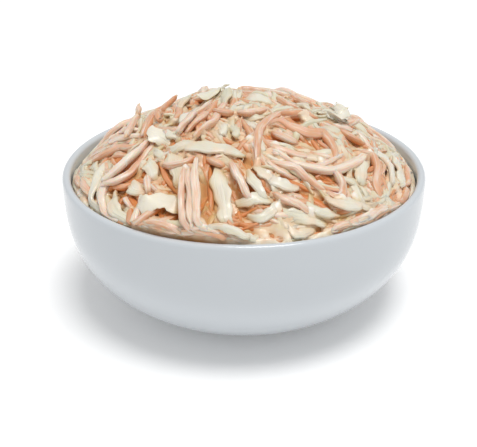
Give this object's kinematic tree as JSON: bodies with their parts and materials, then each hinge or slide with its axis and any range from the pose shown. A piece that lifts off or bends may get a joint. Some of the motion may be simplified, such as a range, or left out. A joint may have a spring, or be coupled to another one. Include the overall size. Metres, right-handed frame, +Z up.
{
  "type": "bowl of coleslaw",
  "caption": "Round white porcelain bowl heaped with creamy coleslaw: shredded carrot and cabbage lying in a loose, uneven mound above the rim.",
  "frame": {"origin": "centre of the bowl's foot, on the surface it stands on", "axes": "+Z up out of the bowl, -Y towards the front of the heap, +X to the right seen from the front"},
  "size_m": [0.15, 0.15, 0.0886],
  "materials": {
    "porcelain": "white glazed porcelain, smooth and glossy",
    "coleslaw": "moist shredded carrot and cabbage coated in a creamy dressing, satin with wet highlights"
  },
  "bodies": {
    "root": {"bowl": "porcelain", "coleslaw": "coleslaw"}
  },
  "joints": []
}
